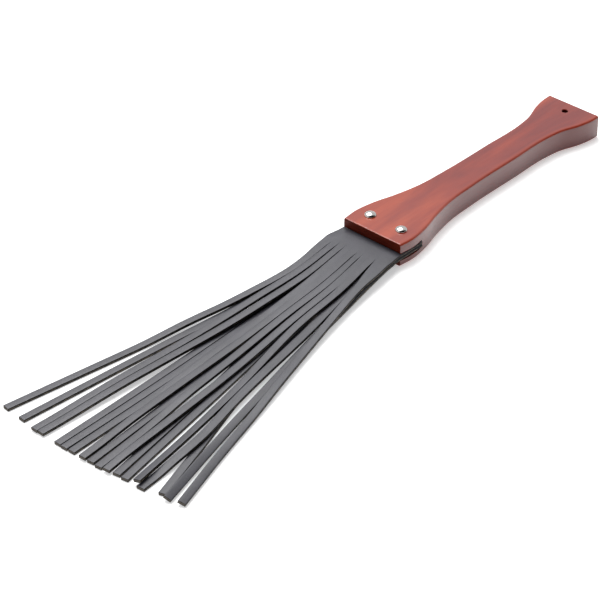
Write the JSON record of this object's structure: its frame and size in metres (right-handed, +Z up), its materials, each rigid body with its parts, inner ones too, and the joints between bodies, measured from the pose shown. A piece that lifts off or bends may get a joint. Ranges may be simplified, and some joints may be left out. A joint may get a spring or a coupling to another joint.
{
  "type": "fly swatter",
  "caption": "Fly swatter: a flat shaped wooden handle whose slotted wide end clamps two riveted leather sheets, slit into long thin tails that fan out.",
  "frame": {"origin": "on the hanging hole's axis, in the plane that the swatter lies on", "axes": "+X from the tails towards the butt of the handle, +Y across the head towards its left side, seen with the tails pointing away, -Y to the right, +Z up through the handle's thickness"},
  "size_m": [0.5551, 0.1655, 0.0216],
  "materials": {
    "wood": "satin lacquer",
    "leather": "smooth satin",
    "rivet": "polished nickel"
  },
  "bodies": {
    "handle": {"handle": "wood", "rivet_dome_left": "rivet", "rivet_dome_right": "rivet", "rivet_post_left": "rivet", "rivet_post_right": "rivet", "upper_tab": "leather", "lower_tab": "leather"},
    "web": {"upper_web": "leather", "lower_web": "leather"},
    "upper_tail_1": {"upper_tail_1": "leather"},
    "upper_tail_2": {"upper_tail_2": "leather"},
    "upper_tail_3": {"upper_tail_3": "leather"},
    "upper_tail_4": {"upper_tail_4": "leather"},
    "upper_tail_5": {"upper_tail_5": "leather"},
    "upper_tail_6": {"upper_tail_6": "leather"},
    "upper_tail_7": {"upper_tail_7": "leather"},
    "upper_tail_8": {"upper_tail_8": "leather"},
    "upper_tail_9": {"upper_tail_9": "leather"},
    "lower_tail_1": {"lower_tail_1": "leather"},
    "lower_tail_2": {"lower_tail_2": "leather"},
    "lower_tail_3": {"lower_tail_3": "leather"},
    "lower_tail_4": {"lower_tail_4": "leather"},
    "lower_tail_5": {"lower_tail_5": "leather"},
    "lower_tail_6": {"lower_tail_6": "leather"},
    "lower_tail_7": {"lower_tail_7": "leather"},
    "lower_tail_8": {"lower_tail_8": "leather"},
    "lower_tail_9": {"lower_tail_9": "leather"}
  },
  "joints": [
    {"name": "head_flex", "type": "hinge", "parent": "handle", "child": "web", "pos_m": [-0.23, 0, 0.00825], "axis": [0, 1, 0], "range_deg": [-25, 25], "stiffness_Nm_per_rad": 0.12},
    {"name": "upper_tail_1_flex", "type": "hinge", "parent": "web", "child": "upper_tail_1", "pos_m": [-0.246, 0, 0.0108], "axis": [0, 1, 0], "range_deg": [0, 60], "stiffness_Nm_per_rad": 0.004},
    {"name": "upper_tail_2_flex", "type": "hinge", "parent": "web", "child": "upper_tail_2", "pos_m": [-0.246, 0, 0.0108], "axis": [0, 1, 0], "range_deg": [0, 60], "stiffness_Nm_per_rad": 0.004},
    {"name": "upper_tail_3_flex", "type": "hinge", "parent": "web", "child": "upper_tail_3", "pos_m": [-0.246, 0, 0.0108], "axis": [0, 1, 0], "range_deg": [0, 60], "stiffness_Nm_per_rad": 0.004},
    {"name": "upper_tail_4_flex", "type": "hinge", "parent": "web", "child": "upper_tail_4", "pos_m": [-0.246, 0, 0.0108], "axis": [0, 1, 0], "range_deg": [0, 60], "stiffness_Nm_per_rad": 0.004},
    {"name": "upper_tail_5_flex", "type": "hinge", "parent": "web", "child": "upper_tail_5", "pos_m": [-0.246, 0, 0.0108], "axis": [0, 1, 0], "range_deg": [0, 60], "stiffness_Nm_per_rad": 0.004},
    {"name": "upper_tail_6_flex", "type": "hinge", "parent": "web", "child": "upper_tail_6", "pos_m": [-0.246, 0, 0.0108], "axis": [0, 1, 0], "range_deg": [0, 60], "stiffness_Nm_per_rad": 0.004},
    {"name": "upper_tail_7_flex", "type": "hinge", "parent": "web", "child": "upper_tail_7", "pos_m": [-0.246, 0, 0.0108], "axis": [0, 1, 0], "range_deg": [0, 60], "stiffness_Nm_per_rad": 0.004},
    {"name": "upper_tail_8_flex", "type": "hinge", "parent": "web", "child": "upper_tail_8", "pos_m": [-0.246, 0, 0.0108], "axis": [0, 1, 0], "range_deg": [0, 60], "stiffness_Nm_per_rad": 0.004},
    {"name": "upper_tail_9_flex", "type": "hinge", "parent": "web", "child": "upper_tail_9", "pos_m": [-0.246, 0, 0.0108], "axis": [0, 1, 0], "range_deg": [0, 60], "stiffness_Nm_per_rad": 0.004},
    {"name": "lower_tail_1_flex", "type": "hinge", "parent": "web", "child": "lower_tail_1", "pos_m": [-0.246, 0, 0.0057], "axis": [0, 1, 0], "range_deg": [-60, 0], "stiffness_Nm_per_rad": 0.004},
    {"name": "lower_tail_2_flex", "type": "hinge", "parent": "web", "child": "lower_tail_2", "pos_m": [-0.246, 0, 0.0057], "axis": [0, 1, 0], "range_deg": [-60, 0], "stiffness_Nm_per_rad": 0.004},
    {"name": "lower_tail_3_flex", "type": "hinge", "parent": "web", "child": "lower_tail_3", "pos_m": [-0.246, 0, 0.0057], "axis": [0, 1, 0], "range_deg": [-60, 0], "stiffness_Nm_per_rad": 0.004},
    {"name": "lower_tail_4_flex", "type": "hinge", "parent": "web", "child": "lower_tail_4", "pos_m": [-0.246, 0, 0.0057], "axis": [0, 1, 0], "range_deg": [-60, 0], "stiffness_Nm_per_rad": 0.004},
    {"name": "lower_tail_5_flex", "type": "hinge", "parent": "web", "child": "lower_tail_5", "pos_m": [-0.246, 0, 0.0057], "axis": [0, 1, 0], "range_deg": [-60, 0], "stiffness_Nm_per_rad": 0.004},
    {"name": "lower_tail_6_flex", "type": "hinge", "parent": "web", "child": "lower_tail_6", "pos_m": [-0.246, 0, 0.0057], "axis": [0, 1, 0], "range_deg": [-60, 0], "stiffness_Nm_per_rad": 0.004},
    {"name": "lower_tail_7_flex", "type": "hinge", "parent": "web", "child": "lower_tail_7", "pos_m": [-0.246, 0, 0.0057], "axis": [0, 1, 0], "range_deg": [-60, 0], "stiffness_Nm_per_rad": 0.004},
    {"name": "lower_tail_8_flex", "type": "hinge", "parent": "web", "child": "lower_tail_8", "pos_m": [-0.246, 0, 0.0057], "axis": [0, 1, 0], "range_deg": [-60, 0], "stiffness_Nm_per_rad": 0.004},
    {"name": "lower_tail_9_flex", "type": "hinge", "parent": "web", "child": "lower_tail_9", "pos_m": [-0.246, 0, 0.0057], "axis": [0, 1, 0], "range_deg": [-60, 0], "stiffness_Nm_per_rad": 0.004}
  ]
}
